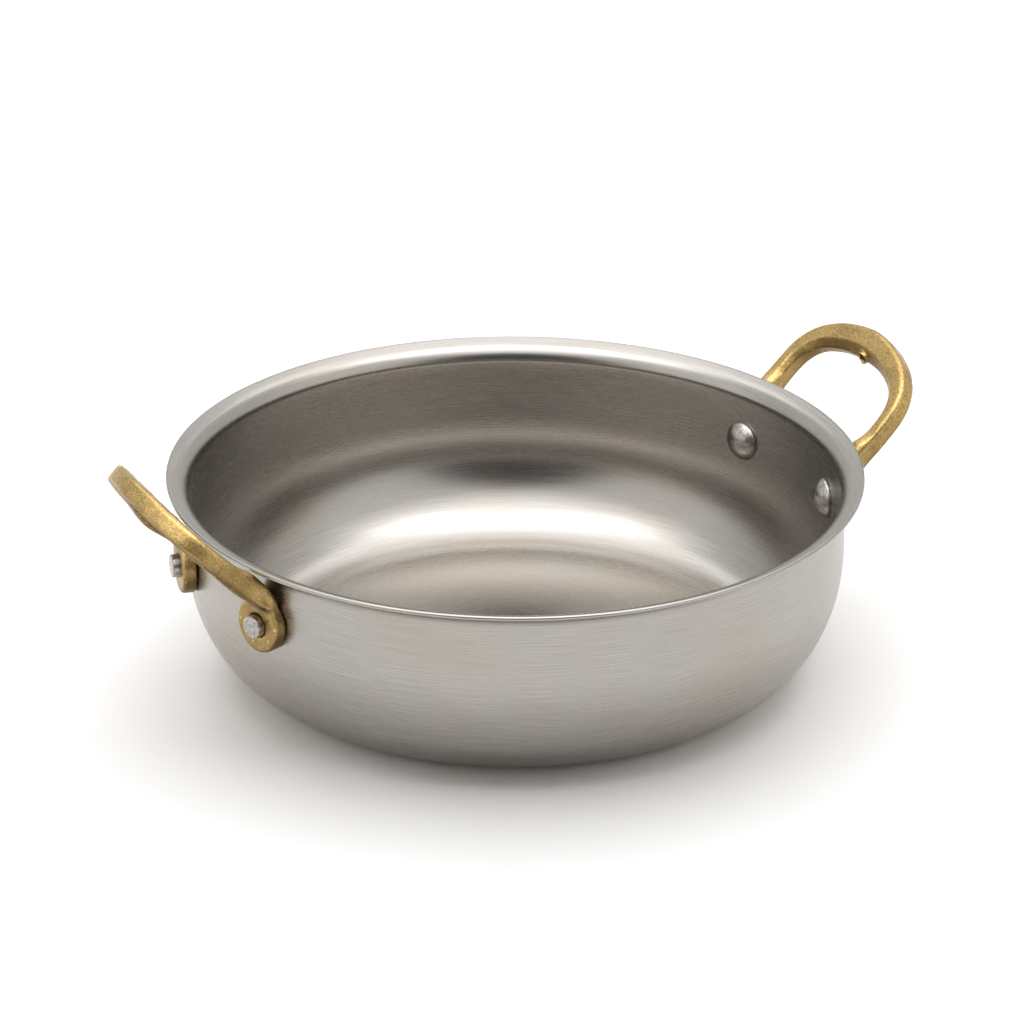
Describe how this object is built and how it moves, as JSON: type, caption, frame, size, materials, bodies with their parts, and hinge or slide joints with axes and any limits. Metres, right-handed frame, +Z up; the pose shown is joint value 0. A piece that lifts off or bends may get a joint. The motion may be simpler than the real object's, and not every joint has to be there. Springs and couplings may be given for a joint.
{
  "type": "serving dish",
  "caption": "Round shallow steel serving dish with a flared rim and two riveted brass loop handles that rise outward above the rim.",
  "frame": {"origin": "centre of the flat base, on the surface the dish stands on", "axes": "+Z up out of the bowl along its axis; +X through the middle of the right-hand handle and -X through the left-hand one; -Y is the side nearer the camera in the picture"},
  "size_m": [0.1861, 0.15, 0.0597],
  "materials": {
    "bowl_steel": "satin stainless sheet, fine scratches running round the bowl",
    "handle_brass": "cast brass, aged, dull and finely pitted with brighter worn edges",
    "rivet_steel": "smooth steel dome inside, rough grey shank end outside"
  },
  "bodies": {
    "root": {"bowl": "bowl_steel", "handle_right": "handle_brass", "handle_left": "handle_brass", "rivet_right_back": "rivet_steel", "rivet_right_front": "rivet_steel", "rivet_left_front": "rivet_steel", "rivet_left_back": "rivet_steel"}
  },
  "joints": []
}
